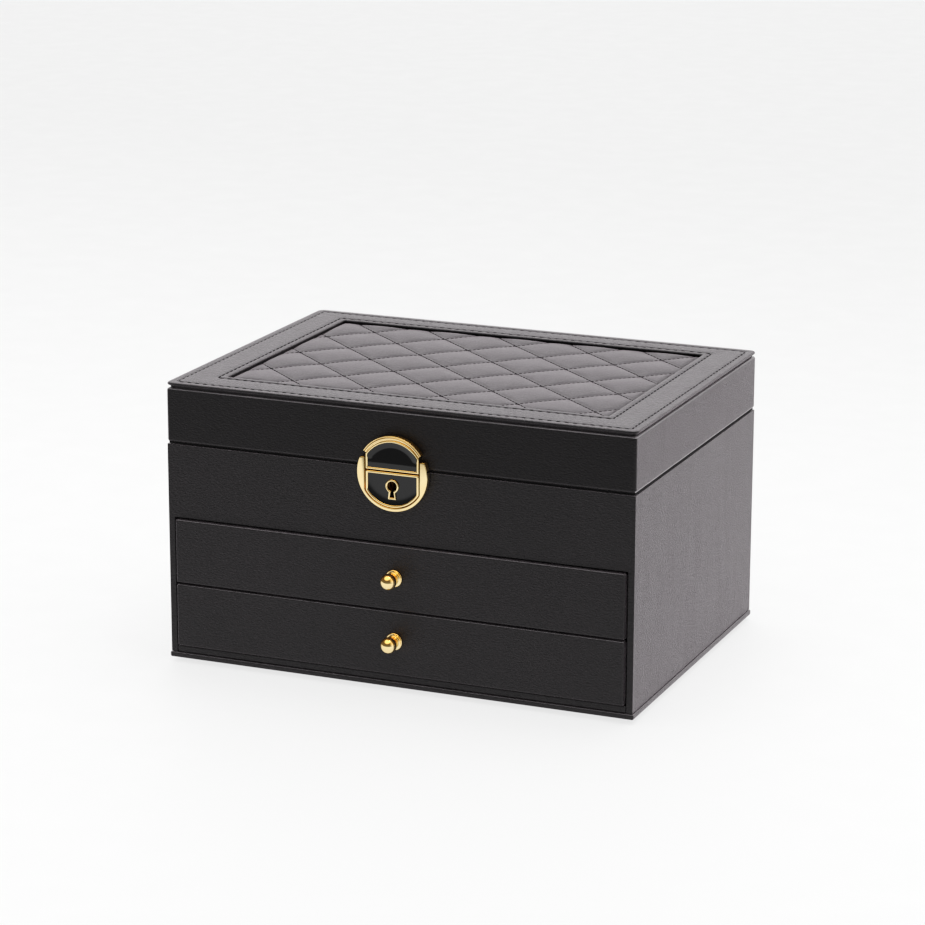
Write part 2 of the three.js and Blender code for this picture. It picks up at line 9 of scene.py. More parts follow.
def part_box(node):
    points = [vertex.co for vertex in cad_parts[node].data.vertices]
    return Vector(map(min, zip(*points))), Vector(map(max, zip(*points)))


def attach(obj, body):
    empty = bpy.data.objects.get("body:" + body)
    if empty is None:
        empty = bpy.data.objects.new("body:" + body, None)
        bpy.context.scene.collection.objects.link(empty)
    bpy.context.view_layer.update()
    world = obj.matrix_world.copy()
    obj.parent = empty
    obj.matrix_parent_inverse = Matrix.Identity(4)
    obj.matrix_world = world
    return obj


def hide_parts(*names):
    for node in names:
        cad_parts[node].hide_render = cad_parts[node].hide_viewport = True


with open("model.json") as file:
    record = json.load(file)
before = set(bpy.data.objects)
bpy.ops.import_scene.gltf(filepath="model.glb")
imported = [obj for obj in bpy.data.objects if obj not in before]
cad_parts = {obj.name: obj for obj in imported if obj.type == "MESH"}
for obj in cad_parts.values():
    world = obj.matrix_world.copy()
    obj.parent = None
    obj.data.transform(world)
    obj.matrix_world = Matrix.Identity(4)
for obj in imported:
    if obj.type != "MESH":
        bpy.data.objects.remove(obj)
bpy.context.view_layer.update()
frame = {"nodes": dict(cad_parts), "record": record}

MM = 0.001

# ---- camera

# The camera stands 1.64 m from the case, to the right of its front and above it.
CAMERA_PLACE = Vector((602.1, -1439.8, 513.8)) * MM
CAMERA_PITCH = 15.165
CAMERA_YAW = 22.719
CAMERA_ROLL = 0.110
CAMERA_LENS = 130.42


def add_camera():
    data = bpy.data.cameras.new("camera")
    data.lens = CAMERA_LENS
    data.clip_start = 0.05
    data.clip_end = 50
    camera = bpy.data.objects.new("camera", data)
    bpy.context.scene.collection.objects.link(camera)
    aim = Euler((math.radians(90 - CAMERA_PITCH), 0, math.radians(CAMERA_YAW))).to_matrix()
    roll = Matrix.Rotation(math.radians(CAMERA_ROLL), 3, "Z")
    camera.matrix_world = Matrix.Translation(CAMERA_PLACE) @ (aim @ roll).to_4x4()
    bpy.context.scene.camera = camera


# ---- shader helpers

def new_material(name, **sockets):
    """A principled material, with fixed values set on the shader's own sockets."""
    material = bpy.data.materials.new(name)
    material.use_nodes = True
    shader = material.node_tree.nodes["Principled BSDF"]
    for socket, value in sockets.items():
        shader.inputs[socket.replace("_", " ")].default_value = value
    return material, material.node_tree, shader


def node(tree, kind, **settings):
    made = tree.nodes.new(kind)
    for key, value in settings.items():
        if key in made.inputs:
            made.inputs[key].default_value = value
        else:
            setattr(made, key, value)
    return made


def coordinates(tree, stretch=(1, 1, 1)):
    """Object coordinates in metres, stretched along the axes."""
    source = node(tree, "ShaderNodeTexCoord")
    mapping = node(tree, "ShaderNodeMapping")
    mapping.inputs["Scale"].default_value = stretch
    tree.links.new(source.outputs["Object"], mapping.inputs["Vector"])
    return mapping.outputs["Vector"]


def combine(tree, operation, first, second):
    """The sum, product or other combination of two linked values."""
    made = node(tree, "ShaderNodeMath", operation=operation)
    tree.links.new(first, made.inputs[0])
    tree.links.new(second, made.inputs[1])
    return made.outputs[0]


def reach_along(tree, vector, direction):
    """How far a vector reaches in a direction."""
    made = node(tree, "ShaderNodeVectorMath", operation="DOT_PRODUCT")
    made.inputs[1].default_value = direction
    tree.links.new(vector, made.inputs[0])
    return made.outputs["Value"]


def object_normal(tree):
    """The X, Y and Z of the surface's direction in the piece's own frame."""
    source = node(tree, "ShaderNodeTexCoord")
    split = node(tree, "ShaderNodeSeparateXYZ")
    tree.links.new(source.outputs["Normal"], split.inputs[0])
    return split.outputs


def noise(tree, vector, scale, detail=3.0, roughness=0.5):
    made = node(tree, "ShaderNodeTexNoise", Scale=scale, Detail=detail, Roughness=roughness)
    tree.links.new(vector, made.inputs["Vector"])
    return made.outputs["Fac"]


def paint(tree, shader, **values):
    """Links values to the shader's sockets of the same names."""
    for socket, value in values.items():
        tree.links.new(value, shader.inputs[socket.replace("_", " ")])


def map_range(tree, value, limits, curve="LINEAR"):
    made = node(tree, "ShaderNodeMapRange", interpolation_type=curve)
    for socket, limit in zip(("From Min", "From Max", "To Min", "To Max"), limits):
        made.inputs[socket].default_value = limit
    tree.links.new(value, made.inputs["Value"])
    return made.outputs["Result"]


def spread(tree, value, low, high):
    """Maps the middle half of a 0 to 1 value onto low to high."""
    return map_range(tree, value, (0.25, 0.75, low, high))


def ramp(tree, value, start, end, low, high):
    """Eases from low to high while the value goes from start to end."""
    return map_range(tree, value, (start, end, low, high), "SMOOTHSTEP")


def tint(tree, value, dark, light):
    made = node(tree, "ShaderNodeMix", data_type="RGBA")
    made.inputs[6].default_value = (*dark, 1)
    made.inputs[7].default_value = (*light, 1)
    tree.links.new(value, made.inputs[0])
    return made.outputs[2]


def bump(tree, shader, layers):
    """Stacks bump layers given as (height, strength, depth in metres)."""
    normal = None
    for height, strength, depth in layers:
        made = node(tree, "ShaderNodeBump", Strength=strength, Distance=depth)
        tree.links.new(height, made.inputs["Height"])
        if normal is not None:
            tree.links.new(normal, made.inputs["Normal"])
        normal = made.outputs["Normal"]
    paint(tree, shader, Normal=normal)


# ---- materials

GRAIN = 0.72 * MM
LEATHER_TINT = (1.0, 0.88, 0.95, 1)
HIDE = ((0.004, 0.003, 0.0037), (0.019, 0.0145, 0.0172))
# A darker copy of the hide for the lid's walls: painted shade.
SHADED_LID_HIDE = ((0.0025, 0.002, 0.0023), (0.013, 0.010, 0.0117))
# Colours of the painted highlight on folded edges: on the boards, on the lid, and on the case's
# rim.
EDGE_HIGHLIGHT = (0.11, 0.10, 0.105)
LID_EDGE_HIGHLIGHT = (0.50, 0.47, 0.485)
RIM_HIGHLIGHT = (0.30, 0.27, 0.285)


def highlight_mask(tree, ends_dark, top_share):
    """Where the painted highlight goes: 1 on folds that face up, and on those that face down along
    the two ends of the case.

    With ends_dark only the folds along the front and the back take the painted highlight. Folds
    that face up take it to top_share.
    """
    normal = object_normal(tree)
    sideways = node(tree, "ShaderNodeMath", operation="ABSOLUTE")
    tree.links.new(normal["X"], sideways.inputs[0])
    below = ramp(tree, normal["Z"], -0.25, -0.02, 1.0, 0.0)
    at_ends = ramp(tree, sideways.outputs[0], 0.35, 0.6, 0.0, 1.0)
    under = combine(tree, "MULTIPLY", below, at_ends)
    above = ramp(tree, normal["Z"], 0.25, 0.6, 0.0, top_share)
    either = combine(tree, "MAXIMUM", above, under)
    if not ends_dark:
        return either
    along_front = ramp(tree, sideways.outputs[0], 0.15, 0.35, 1.0, 0.0)
    return combine(tree, "MULTIPLY", either, along_front)


def leather_material(
    name, hide=HIDE, rough=(0.32, 0.42), depth=0.30 * MM, sheen=0.42, ior=1.58,
    highlight=None, ends_dark=False, top_share=1.0,
):
    """Fine-grained coated leather: creased cells, faint broad mottling and a soft grazing sheen.

    With a highlight colour, folds that face up or down are painted lighter in patches: a painted
    highlight.
    """
    material, tree, shader = new_material(name, IOR=ior, Sheen_Weight=sheen, Sheen_Roughness=0.4)
    shader.inputs["Sheen Tint"].default_value = LEATHER_TINT
    vector = coordinates(tree)
    cells = node(tree, "ShaderNodeTexVoronoi", feature="DISTANCE_TO_EDGE", Scale=1 / GRAIN)
    tree.links.new(coordinates(tree, (0.8, 0.8, 1.3)), cells.inputs["Vector"])
    pores = spread(tree, cells.outputs["Distance"], 0.0, 1.0)
    wrinkles = noise(tree, coordinates(tree, (0.7, 0.7, 1.5)), 0.7 / GRAIN, 3.0, 0.6)
    broad = noise(tree, vector, 18.0, 4.0)
    streaks = noise(tree, coordinates(tree, (160, 160, 26)), 1.0, 4.0, 0.6)
    mottle = noise(tree, vector, 90.0, 3.0)
    specks = noise(tree, vector, 1.1 / GRAIN, 2.0, 0.7)
    blotched = combine(
        tree, "ADD", spread(tree, broad, 0.0, 0.3), spread(tree, specks, -0.2, 0.9),
    )
    colour = tint(tree, blotched, *hide)
    # Painted highlight: the folds picked out by the mask are painted lighter, in patches.
    if highlight:
        facing = highlight_mask(tree, ends_dark, top_share)
        patchy = combine(tree, "MULTIPLY", facing, spread(tree, mottle, 0.6, 1.0))
        highlighted = node(tree, "ShaderNodeMix", data_type="RGBA")
        highlighted.inputs[7].default_value = (*highlight, 1)
        tree.links.new(patchy, highlighted.inputs[0])
        tree.links.new(colour, highlighted.inputs[6])
        colour = highlighted.outputs[2]
    uneven = combine(
        tree, "ADD", spread(tree, streaks, *rough), spread(tree, specks, 0.13, -0.13),
    )
    paint(tree, shader, Base_Color=colour, Roughness=uneven)
    layers = [(pores, 0.6, depth), (wrinkles, 0.8, 1.4 * depth), (mottle, 0.2, 0.05 * MM)]
    bump(tree, shader, layers)
    return material


def folded_leather(name, highlight, ends_dark=False, top_share=1.0):
    """Smoother leather for turned edges, with a painted highlight on its folds."""
    return leather_material(
        name, rough=(0.25, 0.35), depth=0.08 * MM, highlight=highlight, ends_dark=ends_dark,
        top_share=top_share,
    )


def velvet(name, dark, light):
    material, tree, shader = new_material(
        name, Roughness=0.95, Sheen_Weight=0.6, Sheen_Roughness=0.35
    )
    shader.inputs["Sheen Tint"].default_value = (0.75, 0.73, 0.78, 1)
    vector = coordinates(tree)
    pile = noise(tree, vector, 2400.0, 2.0)
    brushed = noise(tree, coordinates(tree, (70, 120, 70)), 1.0, 4.0, 0.6)
    paint(tree, shader, Base_Color=tint(tree, brushed, dark, light))
    bump(tree, shader, [(brushed, 0.25, 0.25 * MM), (pile, 0.7, 0.12 * MM)])
    return material


def gold(name="gold", rough=(0.04, 0.09), colour=(1.0, 0.84, 0.49), shaded=(0.91, 0.55, 0.17)):
    """Gilt metal with painted shade: deeper on faces that look up, paler on those that look level
    or down.
    """
    material, tree, shader = new_material(name, Metallic=1.0)
    vector = coordinates(tree)
    haze = noise(tree, vector, 700.0, 3.0)
    # Painted shade: faces that look up take the deeper colour, mixed with random clouds of tone.
    level = ramp(tree, object_normal(tree)["Z"], 0.0, 0.5, 1.0, 0.0)
    clouds = spread(tree, noise(tree, vector, 160.0), 0.7, 1.0)
    pale = combine(tree, "MULTIPLY", level, clouds)
    shade = tint(tree, pale, shaded, colour)
    paint(tree, shader, Base_Color=shade, Roughness=spread(tree, haze, *rough))
    bump(tree, shader, [(haze, 0.12, 0.02 * MM)])
    return material


def enamel():
    material, tree, shader = new_material(
        "enamel", Specular_IOR_Level=0.3, Coat_Weight=1.0, Coat_Roughness=0.03,
    )
    vector = coordinates(tree)
    specks = noise(tree, vector, 900.0, 2.0)
    colour = tint(tree, specks, (0.0010, 0.0010, 0.0012), (0.0028, 0.0026, 0.0029))
    paint(tree, shader, Base_Color=colour, Roughness=spread(tree, specks, 0.10, 0.18))
    ripple = noise(tree, vector, 130.0, 1.0)
    bump(tree, shader, [(ripple, 0.18, 0.25 * MM)])
    return material


def plain_finish(name, pattern, dark, light, rough=None, relief=None, **sockets):
    """A finish from one noise, given as (stretch, scale, detail), which may vary its roughness."""
    material, tree, shader = new_material(name, **sockets)
    stretch, scale, detail = pattern
    grain = noise(tree, coordinates(tree, stretch), scale, detail)
    paint(tree, shader, Base_Color=tint(tree, grain, dark, light))
    if rough:
        paint(tree, shader, Roughness=spread(tree, grain, *rough))
    if relief:
        bump(tree, shader, [(grain, *relief)])
    return material


EVEN = (1, 1, 1)


def steel():
    return plain_finish(
        "steel", ((300, 300, 5000), 1.0, 3.0), (0.46, 0.46, 0.47), (0.62, 0.62, 0.63),
        (0.25, 0.42), (0.15, 0.02 * MM), Metallic=1.0,
    )


def mirror_glass():
    return plain_finish(
        "mirror_glass", (EVEN, 25.0, 4.0), (0.86, 0.88, 0.88), (0.90, 0.92, 0.92),
        (0.012, 0.03), Metallic=1.0,
    )


def thread():
    return plain_finish(
        "thread", (EVEN, 5200.0, 2.0), (0.003, 0.003, 0.003), (0.011, 0.010, 0.011),
        relief=(0.6, 0.06 * MM), Roughness=0.75,
    )


def felt():
    return plain_finish(
        "felt", (EVEN, 1800.0, 4.0), (0.010, 0.010, 0.010), (0.028, 0.027, 0.027),
        relief=(0.8, 0.2 * MM), Roughness=1.0, Sheen_Weight=0.3,
    )


# The table's painted glow ends square to this direction, in front of the case.
TABLE_AXIS = (-0.386, 0.922, 0.0)


def floor_material():
    """A white table that glows with painted light, fading to painted shade in front of the case,
    towards the dim room.
    """
    material, tree, shader = new_material(
        "floor", Specular_IOR_Level=0.08, Emission_Strength=0.75,
    )
    vector = coordinates(tree)
    split = node(tree, "ShaderNodeSeparateXYZ")
    tree.links.new(vector, split.inputs[0])
    # Painted light: the table glows, the glow fades to painted shade in front, and it dims a little
    # further back.
    lit = ramp(tree, reach_along(tree, vector, TABLE_AXIS), -0.60, -0.38, 0.0, 1.0)
    colour = tint(tree, lit, (0.20, 0.20, 0.20), (0.16, 0.161, 0.16))
    far = ramp(tree, split.outputs["Y"], -0.3, 1.4, 1.0, 0.85)
    glow = combine(tree, "MULTIPLY", lit, far)
    rough = spread(tree, noise(tree, vector, 40.0, 2.0), 0.55, 0.65)
    paint(tree, shader, Base_Color=colour, Emission_Color=glow, Roughness=rough)
    return material


LEATHER = leather_material("leather")
# The lid's walls take a darker, shaded copy of the leather: painted shade.
SHADED_LID_LEATHER = leather_material("shaded_lid_leather", SHADED_LID_HIDE, sheen=0.46, ior=1.49)
# Leathers for folded edges, which carry a painted highlight on their folds.
LID_EDGE_LEATHER = folded_leather("lid_edge_leather", LID_EDGE_HIGHLIGHT, top_share=0.45)
EDGE_LEATHER = folded_leather("edge_leather", EDGE_HIGHLIGHT)
RIM_LEATHER = folded_leather("rim_leather", RIM_HIGHLIGHT, ends_dark=True)
PAD_LEATHER = leather_material("pad_leather", rough=(0.40, 0.50), depth=0.10 * MM, sheen=0.55)
VELVET = velvet("velvet", (0.010, 0.010, 0.011), (0.020, 0.019, 0.021))
ROLL_VELVET = velvet("roll_velvet", (0.013, 0.013, 0.014), (0.026, 0.025, 0.027))
GOLD = gold()
BRASS = gold("brass", (0.22, 0.34), (0.80, 0.58, 0.27), (0.62, 0.42, 0.17))
TARNISH = gold("tarnish", (0.45, 0.60), (0.16, 0.09, 0.04), (0.08, 0.045, 0.02))
ENAMEL = enamel()
STEEL = steel()
MIRROR = mirror_glass()
THREAD = thread()
FELT = felt()

# ---- mesh helpers


def finish_mesh(name, body, material, bm, replaced=(), angle=35):
    """Turns a bmesh into a named piece on a body, with its finish, and smooths its soft edges."""
    mesh = bpy.data.meshes.new(name)
    bmesh.ops.recalc_face_normals(bm, faces=bm.faces)
    bm.to_mesh(mesh)
    bm.free()
    mesh.materials.append(material)
    mesh.shade_smooth()
    mesh.set_sharp_from_angle(angle=math.radians(angle))
    piece = bpy.data.objects.new(name, mesh)
    bpy.context.scene.collection.objects.link(piece)
    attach(piece, body)
    if replaced:
        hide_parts(*replaced)
    return piece


def bevelled(piece, width, segments=3, highlight=None):
    """Rounds the piece's edges; the rounding may take a leather with a painted highlight."""
    rounder = piece.modifiers.new("rounding", "BEVEL")
    rounder.width = width
    rounder.segments = segments
    rounder.limit_method = "ANGLE"
    rounder.angle_limit = math.radians(30)
    rounder.harden_normals = True
    if highlight:
        piece.data.materials.append(highlight)
        rounder.material = 1
    return piece


def cell_mesh(xs, ys, zs, filled):
    """The skin of the filled cells of a grid, as a bmesh with flat regions merged."""
    bm = bmesh.new()
    made = {}

    def corner(key):
        if key not in made:
            made[key] = bm.verts.new((xs[key[0]], ys[key[1]], zs[key[2]]))
        return made[key]

    counts = (len(xs) - 1, len(ys) - 1, len(zs) - 1)

    def solid(cell):
        inside = all(0 <= cell[a] < counts[a] for a in range(3))
        return inside and filled(*cell)

    for i in range(counts[0]):
        for j in range(counts[1]):
            for k in range(counts[2]):
                if not solid((i, j, k)):
                    continue
                for axis in range(3):
                    for side in (0, 1):
                        beyond = [i, j, k]
                        beyond[axis] += 1 if side else -1
                        if solid(tuple(beyond)):
                            continue
                        base = [i, j, k]
                        base[axis] += side
                        u, v = (axis + 1) % 3, (axis + 2) % 3
                        ring = []
                        for du, dv in ((0, 0), (1, 0), (1, 1), (0, 1)):
                            key = list(base)
                            key[u] += du
                            key[v] += dv
                            ring.append(corner(tuple(key)))
                        if not side:
                            ring.reverse()
                        bm.faces.new(ring)
    bmesh.ops.dissolve_limit(
        bm, angle_limit=math.radians(1), verts=bm.verts, edges=bm.edges,
        use_dissolve_boundaries=False,
    )
    return bm


# How many steps a rounded loop takes round a corner and along a side.
CORNER_STEPS, SIDE_STEPS = 6, 48


def rounded_loop(x0, x1, y0, y1, radius, z):
    """Points around a rounded rectangle, anticlockwise from the right side's back end."""
    centres = (
        (x1 - radius, y1 - radius), (x0 + radius, y1 - radius),
        (x0 + radius, y0 + radius), (x1 - radius, y0 + radius),
    )
    points = []
    for turn, (cx, cy) in enumerate(centres):
        for step in range(CORNER_STEPS + 1):
            angle = math.pi / 2 * (turn + step / CORNER_STEPS)
            points.append((cx + radius * math.cos(angle), cy + radius * math.sin(angle), z))
        nx, ny = centres[(turn + 1) % 4]
        angle = math.pi / 2 * (turn + 1)
        start = points[-1]
        end = (nx + radius * math.cos(angle), ny + radius * math.sin(angle), z)
        for step in range(1, SIDE_STEPS):
            share = step / SIDE_STEPS
            points.append(tuple(a + (b - a) * share for a, b in zip(start, end)))
    return points


def loft(loops, closed=False, cap_start=False, cap_end=False, bm=None):
    """Joins closed loops of equal length into a skin."""
    bm = bm or bmesh.new()
    rows = [[bm.verts.new(point) for point in loop] for loop in loops]
    pairs = list(zip(rows, rows[1:]))
    if closed:
        pairs.append((rows[-1], rows[0]))
    for low, high in pairs:
        count = len(low)
        for i in range(count):
            j = (i + 1) % count
            bm.faces.new((low[i], low[j], high[j], high[i]))
    if cap_start:
        bm.faces.new(list(reversed(rows[0])))
    if cap_end:
        bm.faces.new(rows[-1])
    return bm


def turned(profile, segments, place):
    """Turns a profile of (radius, distance forward) round an axis that runs towards the front."""
    bm = bmesh.new()
    rows = []
    for radius, forward in profile:
        if radius < 1e-7:
            rows.append([bm.verts.new(place + Vector((0, -forward, 0)))])
            continue
        row = []
        for i in range(segments):
            angle = 2 * math.pi * i / segments
            offset = Vector((radius * math.cos(angle), -forward, radius * math.sin(angle)))
            row.append(bm.verts.new(place + offset))
        rows.append(row)
    for low, high in zip(rows, rows[1:]):
        for i in range(segments):
            j = (i + 1) % segments
            if len(low) == 1:
                bm.faces.new((low[0], high[i], high[j]))
            elif len(high) == 1:
                bm.faces.new((low[i], low[j], high[0]))
            else:
                bm.faces.new((low[i], low[j], high[j], high[i]))
    return bm


def soft_thread(bm, start, end, radius, sink, up=Vector((0, 0, 1))):
    """One stitch: a short bowed thread whose two ends dive into the leather."""
    along = end - start
    side = along.normalized().cross(up)
    stations = ((0.0, -1.0, 0.55), (0.10, -0.35, 0.9), (0.3, 0.15, 1.0), (0.5, 0.28, 1.0),
                (0.7, 0.15, 1.0), (0.90, -0.35, 0.9), (1.0, -1.0, 0.55))
    rows = []
    for share, lift, fatness in stations:
        centre = start + along * share + up * (lift * sink)
        row = []
        for i in range(8):
            angle = math.pi * i / 4
            offset = side * (math.cos(angle) * radius * fatness)
            offset += up * (math.sin(angle) * radius * fatness)
            row.append(bm.verts.new(centre + offset))
        rows.append(row)
    for low, high in zip(rows, rows[1:]):
        for i in range(8):
            j = (i + 1) % 8
            bm.faces.new((low[i], low[j], high[j], high[i]))
    bm.faces.new(list(reversed(rows[0])))
    bm.faces.new(rows[-1])


def stitch_row(bm, start, end, pitch, share, radius, sink):
    """A straight row of stitches between two points."""
    count = max(1, round((end - start).length / pitch))
    step = (end - start) / count
    for i in range(count):
        first = start + step * (i + (1 - share) / 2)
        soft_thread(bm, first, first + step * share, radius, sink)


# ---- carcass and lid boards

EDGE = 1.1 * MM
# The cut-outs in the fascia: a thin skin over the lock pocket, a small window in the skin, and a
# throat that lets the lid's hook in from above.
SKIN = 0.2 * MM
POCKET_ROOM = 0.3 * MM
HOOK_X = -6.6 * MM
THROAT_HALF = 1.7 * MM
THROAT_DEPTH = 3.2 * MM
WINDOW_RIGHT = 6.0 * MM


def add_case_wrap():
    """One leather skin over the sides, the back and the fascia, cut out for the lock."""
    left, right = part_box("side_panel_left"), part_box("side_panel_right")
    fascia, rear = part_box("front_fascia"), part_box("rear_panel")
    cup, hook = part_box("lock_case"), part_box("catch_hook")
    xs = [
        left[0].x, left[1].x, cup[0].x - POCKET_ROOM, HOOK_X - THROAT_HALF, HOOK_X + THROAT_HALF,
        WINDOW_RIGHT, cup[1].x + POCKET_ROOM, right[0].x, right[1].x,
    ]
    throat_front = hook[1].y - THROAT_DEPTH
    ys = [fascia[0].y, fascia[0].y + SKIN, throat_front, fascia[1].y, rear[0].y, rear[1].y]
    zs = [
        rear[0].z, fascia[0].z, cup[0].z - POCKET_ROOM, cup[1].z + POCKET_ROOM, fascia[1].z,
    ]

    def filled(i, j, k):
        """Sides and back, then the fascia with its window, lock pocket and hook throat."""
        if i in (0, 7) or j == 4:
            return True
        if j > 2 or k == 0:
            return False
        in_window = j == 0 and k == 2 and i == 4
        in_pocket = j > 0 and k == 2 and 2 <= i <= 5
        in_throat = k == 3 and i == 3 and j == 2
        return not (in_window or in_pocket or in_throat)

    bm = cell_mesh(xs, ys, zs, filled)
    replaced = ("side_panel_left", "side_panel_right", "front_fascia", "rear_panel")
    piece = finish_mesh("case_wrap", "case", LEATHER, bm, replaced)
    bevelled(piece, EDGE, 4, RIM_LEATHER)


LID_GAP = 0.9 * MM
# How far the dark lip stands back from the lid's walls, at front and back and at the two ends.
LIP_DEPTH = 1.0 * MM
LIP_DEPTH_ENDS = 0.5 * MM
LIP_WIDTH = 1.2 * MM


def add_lid_wrap():
    """The lid's leather walls, which stop short of its rim, and a dark lip inside the gap: painted
    shade.
    """
    left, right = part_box("lid_left"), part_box("lid_right")
    front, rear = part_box("lid_front"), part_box("lid_rear")
    xs = [left[0].x, left[1].x, right[0].x, right[1].x]
    ys = [front[0].y, front[1].y, rear[0].y, rear[1].y]
    zs = [front[0].z + LID_GAP, front[1].z]
    bm = cell_mesh(xs, ys, zs, lambda i, j, k: i != 1 or j != 1)
    replaced = ("lid_left", "lid_right", "lid_front", "lid_rear")
    piece = finish_mesh("lid_wrap", "lid", SHADED_LID_LEATHER, bm, replaced)
    bevelled(piece, EDGE, 4, LID_EDGE_LEATHER)

    # A dark lip inside the gap, which keeps the gap black: painted shade.
    xs = [
        xs[0] + LIP_DEPTH_ENDS, xs[0] + LIP_DEPTH_ENDS + LIP_WIDTH,
        xs[-1] - LIP_DEPTH_ENDS - LIP_WIDTH, xs[-1] - LIP_DEPTH_ENDS,
    ]
    ys = [
        ys[0] + LIP_DEPTH, ys[0] + LIP_DEPTH + LIP_WIDTH,
        ys[-1] - LIP_DEPTH - LIP_WIDTH, ys[-1] - LIP_DEPTH,
    ]
    zs = [front[0].z, front[0].z + 3 * LID_GAP]
    bm = cell_mesh(xs, ys, zs, lambda i, j, k: i != 1 or j != 1)
    piece = finish_mesh("lid_gap_shade", "lid", THREAD, bm)
    bevelled(piece, 0.15 * MM, 2)


def add_board(name, body, edge=EDGE, segments=4, ends=0.0, top=0.0):
    """A leather-covered board with rounded edges, trimmed a little at its ends and its top."""
    low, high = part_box(name)
    xs, zs = [low.x + ends, high.x - ends], [low.z, high.z - top]
    bm = cell_mesh(xs, [low.y, high.y], zs, lambda i, j, k: True)
    piece = finish_mesh(f"{name}_board", body, LEATHER, bm, (name,))
    return bevelled(piece, edge, segments, EDGE_LEATHER)


# ---- lid panel

BEAD = 4.0 * MM
INNER_BEAD = 3.5 * MM
FRAME_FLARE = 0.35 * MM
STITCH_PITCH = 4.15 * MM
STITCH_SHARE = 0.66
STITCH_RADIUS = 0.27 * MM


def recess():
    """The recess's edges, as (left, right, front, back), from the pad that fills it."""
    low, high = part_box("quilted_pad")
    room = 0.3 * MM
    return low.x - room, high.x + room, low.y - room, high.y + room


def add_lid_frame():
    """The padded frame, drawn as nested loops from its underside, over its top, into the recess."""
    low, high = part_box("lid_panel_frame")
    left, right, front, back = recess()
    top = high.z
    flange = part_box("lid_front")[1].z + 0.3 * MM

    # (distance in from the outer edge, level below the top), in millimetres.
    outer = (
        (3.8, None), (1.3, None), (1.2, 1.9), (1.05, 1.5), (0.6, 1.38), (0.3, 1.28), (0.1, 1.1),
        (0.0, 0.85), (0.0, 0.6), (0.05, 0.38), (0.18, 0.20), (0.4, 0.08), (0.75, 0.02),
        (1.4, 0.0), (2.6, 0.02), (3.3, 0.10), (3.75, 0.26), (4.0, 0.36), (4.25, 0.26),
        (4.8, 0.11), (6.2, 0.03), (8.5, 0.0),
    )
    # (distance out from the recess, level below the top), in millimetres.
    inner = (
        (7.5, 0.0), (5.4, 0.04), (4.4, 0.14), (3.8, 0.32), (3.5, 0.44), (3.2, 0.32),
        (2.6, 0.10), (1.9, 0.02), (1.1, 0.03), (0.45, 0.14), (0.12, 0.34), (0.0, 0.6),
        (0.12, 0.85), (0.5, 1.0), (0.9, 1.3), (0.9, 2.6), (0.9, 3.1),
    )
    loops = []
    underside = low.z + 0.02 * MM
    d = 3.8 * MM
    loops.append(rounded_loop(low.x + d, high.x - d, low.y + d, high.y - d, 0.5 * MM, underside))
    for inset, drop in outer:
        level = flange if drop is None else top - drop * MM
        d = inset * MM - FRAME_FLARE
        radius = max(3.0 * MM - d * 0.5, 0.6 * MM)
        loops.append(rounded_loop(low.x + d, high.x - d, low.y + d, high.y - d, radius, level))
    for outset, drop in inner:
        d = outset * MM
        loops.append(rounded_loop(
            left - d, right + d, front - d, back + d, 0.8 * MM + 0.3 * d, top - drop * MM,
        ))
    bm = loft(loops, closed=True)
    finish_mesh(
        "lid_frame_cover", "lid", LEATHER, bm, ("lid_panel_frame",), angle=80,
    )


def stitch_rectangle(bm, x0, x1, y0, y1, z):
    corners = [Vector((x1, y1, z)), Vector((x0, y1, z)), Vector((x0, y0, z)), Vector((x1, y0, z))]
    for i, start in enumerate(corners):
        end = corners[(i + 1) % 4]
        stitch_row(bm, start, end, STITCH_PITCH, STITCH_SHARE, STITCH_RADIUS, 0.3 * MM)


def add_frame_stitches():
    low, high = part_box("lid_panel_frame")
    left, right, front, back = recess()
    bm = bmesh.new()
    level = high.z - 0.30 * MM
    stitch_rectangle(bm, low.x + BEAD, high.x - BEAD, low.y + BEAD, high.y - BEAD, level)
    stitch_rectangle(
        bm, left - INNER_BEAD, right + INNER_BEAD, front - INNER_BEAD, back + INNER_BEAD, level,
    )
    finish_mesh("frame_stitches", "lid", THREAD, bm, angle=60)


# ---- quilted pad

# Diamonds of this width and height, leaning a little, round a middle crossing of two seams.
DIAMOND_WIDTH = 38.15 * MM
DIAMOND_HEIGHT = 36.0 * MM
DIAMOND_LEAN = -2.05 * MM
QUILT_CROSSING = Vector((-12.3, 3.3)) * MM
QUILT_STEPS = 18
QUILT_REACH = 7
SEAM_DROP = 1.55 * MM
PUFF_TOP = 0.35 * MM
EDGE_DROP = 1.2 * MM
EDGE_DRAW, EDGE_TURN, EDGE_SINK = 5 * MM, 1.5 * MM, 0.9 * MM


def quilt_axes():
    across = Vector((DIAMOND_WIDTH, 0))
    up = Vector((DIAMOND_LEAN, DIAMOND_HEIGHT))
    return (across - up) / 2, (across + up) / 2


def quilt_point(s, t):
    first, second = quilt_axes()
    return QUILT_CROSSING + first * s + second * t


def puff(s, t):
    """0 on a seam, 1 in the middle of a diamond."""
    across = abs(math.sin(math.pi * s))
    along = abs(math.sin(math.pi * t))
    return (across * along) ** 0.5


